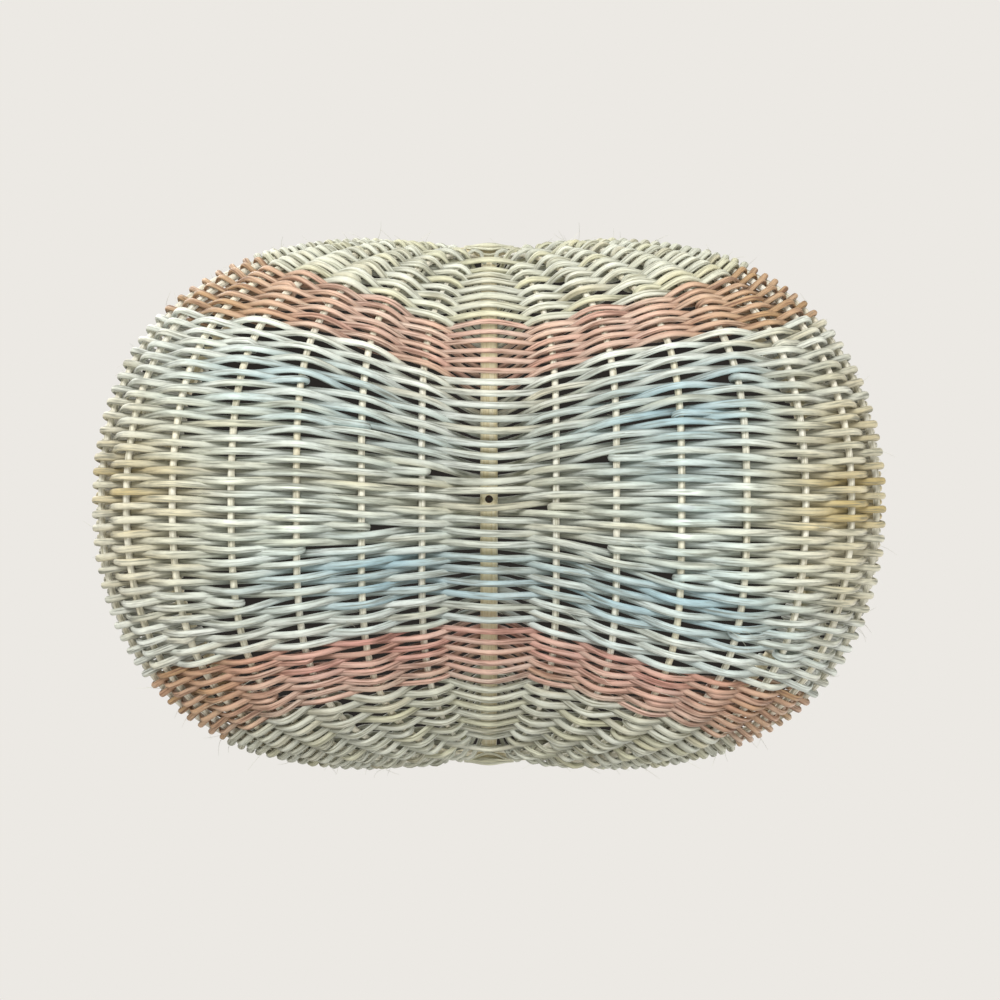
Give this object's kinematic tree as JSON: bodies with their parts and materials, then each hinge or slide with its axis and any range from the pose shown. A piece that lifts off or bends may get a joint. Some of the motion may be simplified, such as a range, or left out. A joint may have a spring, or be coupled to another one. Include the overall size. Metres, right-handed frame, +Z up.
{
  "type": "egg basket",
  "caption": "Twin-lobed woven reed basket on round ribs, with a level oval rim hoop and a fixed round hoop that is both spine and handle, for gathering and carrying eggs.",
  "frame": {"origin": "on the floor under the middle of the basket, at the worn feet of the two lobes", "axes": "+X from the left lobe to the right lobe, +Y from the front ear to the back ear, +Z up to the handle"},
  "size_m": [0.2788, 0.2053, 0.2203],
  "materials": {
    "hoop_wood": "bare bent wood, straight grain, aged pale yellow",
    "lashing_reed": "smooth split reed, bare",
    "rib_reed": "round reed, bare, dry",
    "natural_reed": "round reed, bare, dry, greyed by age",
    "pink_reed": "round reed, dyed pink and faded",
    "pale_reed": "round reed, faintly dyed pale blue in places",
    "nail_steel": "small steel tack, dark with age"
  },
  "bodies": {
    "root": {"handle_hoop": "hoop_wood", "rim_hoop": "hoop_wood", "front_ear_lashing": "lashing_reed", "back_ear_lashing": "lashing_reed", "spine_nail": "nail_steel", "front_hoop_nail": "nail_steel", "back_hoop_nail": "nail_steel", "rib_left_1": "rib_reed", "rib_left_2": "rib_reed", "rib_left_3": "rib_reed", "rib_left_4": "rib_reed", "rib_left_5": "rib_reed", "rib_left_6": "rib_reed", "rib_left_7": "rib_reed", "rib_left_8": "rib_reed", "rib_left_9": "rib_reed", "rib_right_1": "rib_reed", "rib_right_2": "rib_reed", "rib_right_3": "rib_reed", "rib_right_4": "rib_reed", "rib_right_5": "rib_reed", "rib_right_6": "rib_reed", "rib_right_7": "rib_reed", "rib_right_8": "rib_reed", "rib_right_9": "rib_reed", "natural_weaver_front_1": "natural_reed", "natural_weaver_front_2": "natural_reed", "pink_weaver_front_1": "pink_reed", "pink_weaver_front_2": "pink_reed", "middle_weaver_1": "pale_reed", "middle_weaver_2": "pale_reed", "middle_weaver_3": "pale_reed", "middle_weaver_4": "pale_reed", "middle_weaver_5": "pale_reed", "pink_weaver_back_1": "pink_reed", "pink_weaver_back_2": "pink_reed", "natural_weaver_back_1": "natural_reed", "natural_weaver_back_2": "natural_reed"}
  },
  "joints": []
}
